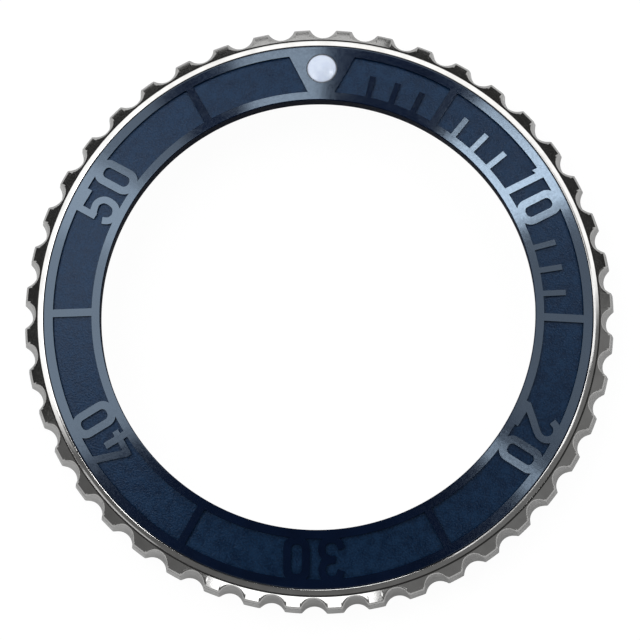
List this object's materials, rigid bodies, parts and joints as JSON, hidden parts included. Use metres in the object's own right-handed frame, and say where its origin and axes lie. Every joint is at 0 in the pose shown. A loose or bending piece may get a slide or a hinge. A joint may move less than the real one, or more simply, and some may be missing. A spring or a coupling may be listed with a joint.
{
  "type": "rotating watch bezel",
  "caption": "Ratcheting diver's watch bezel: scalloped steel ring with a blue ceramic minute insert and luminous pearl, turning on a fixed seat ring.",
  "frame": {"origin": "on the turning axis, in the underside of the fixed seat ring", "axes": "+Z out of the watch towards the wearer, +Y towards 12 o'clock, +X towards 3 o'clock"},
  "size_m": [0.042, 0.042, 0.0044],
  "materials": {
    "grip_steel": "polished stainless steel",
    "seat_steel": "fine turned stainless steel",
    "spring_steel": "drawn spring wire",
    "plunger_steel": "hardened ground steel",
    "ratchet_steel": "milled steel",
    "cup_steel": "dark coated steel",
    "insert_ceramic": "dark blue ceramic, polished relief over a matte floor",
    "gasket_rubber": "black rubber",
    "washer_plastic": "low-friction plastic",
    "lume": "luminous fill",
    "lens_glass": "clear crystal"
  },
  "bodies": {
    "seat": {"seat_ring": "seat_steel", "retaining_ring": "spring_steel", "glide_washer": "washer_plastic", "case_gasket": "gasket_rubber", "click_spring_1": "spring_steel", "click_spring_2": "spring_steel", "click_spring_3": "spring_steel"},
    "bezel": {"bezel_ring": "grip_steel", "bezel_insert": "insert_ceramic", "insert_gasket": "gasket_rubber", "insert_key": "plunger_steel", "ratchet_ring": "ratchet_steel", "ratchet_dowels": "plunger_steel", "pearl_cup": "cup_steel", "pearl_lume": "lume", "pearl_lens": "lens_glass"},
    "click_1": {"click_plunger_1": "plunger_steel"},
    "click_2": {"click_plunger_2": "plunger_steel"},
    "click_3": {"click_plunger_3": "plunger_steel"}
  },
  "joints": [
    {"name": "bezel_spin", "type": "hinge", "parent": "seat", "child": "bezel", "pos_m": [0, 0, 0.0016], "axis": [0, 0, 1], "continuous": true},
    {"name": "click_slide_1", "type": "slide", "parent": "seat", "child": "click_1", "axis": [0, 0, 1], "range_m": [-0.00028, 0], "stiffness_N_per_m": 300, "springref_m": 0.0005, "deforming": ["click_spring_1"]},
    {"name": "click_slide_2", "type": "slide", "parent": "seat", "child": "click_2", "axis": [0, 0, 1], "range_m": [-0.00028, 0], "stiffness_N_per_m": 300, "springref_m": 0.0005, "deforming": ["click_spring_2"]},
    {"name": "click_slide_3", "type": "slide", "parent": "seat", "child": "click_3", "axis": [0, 0, 1], "range_m": [-0.00028, 0], "stiffness_N_per_m": 300, "springref_m": 0.0005, "deforming": ["click_spring_3"]}
  ]
}
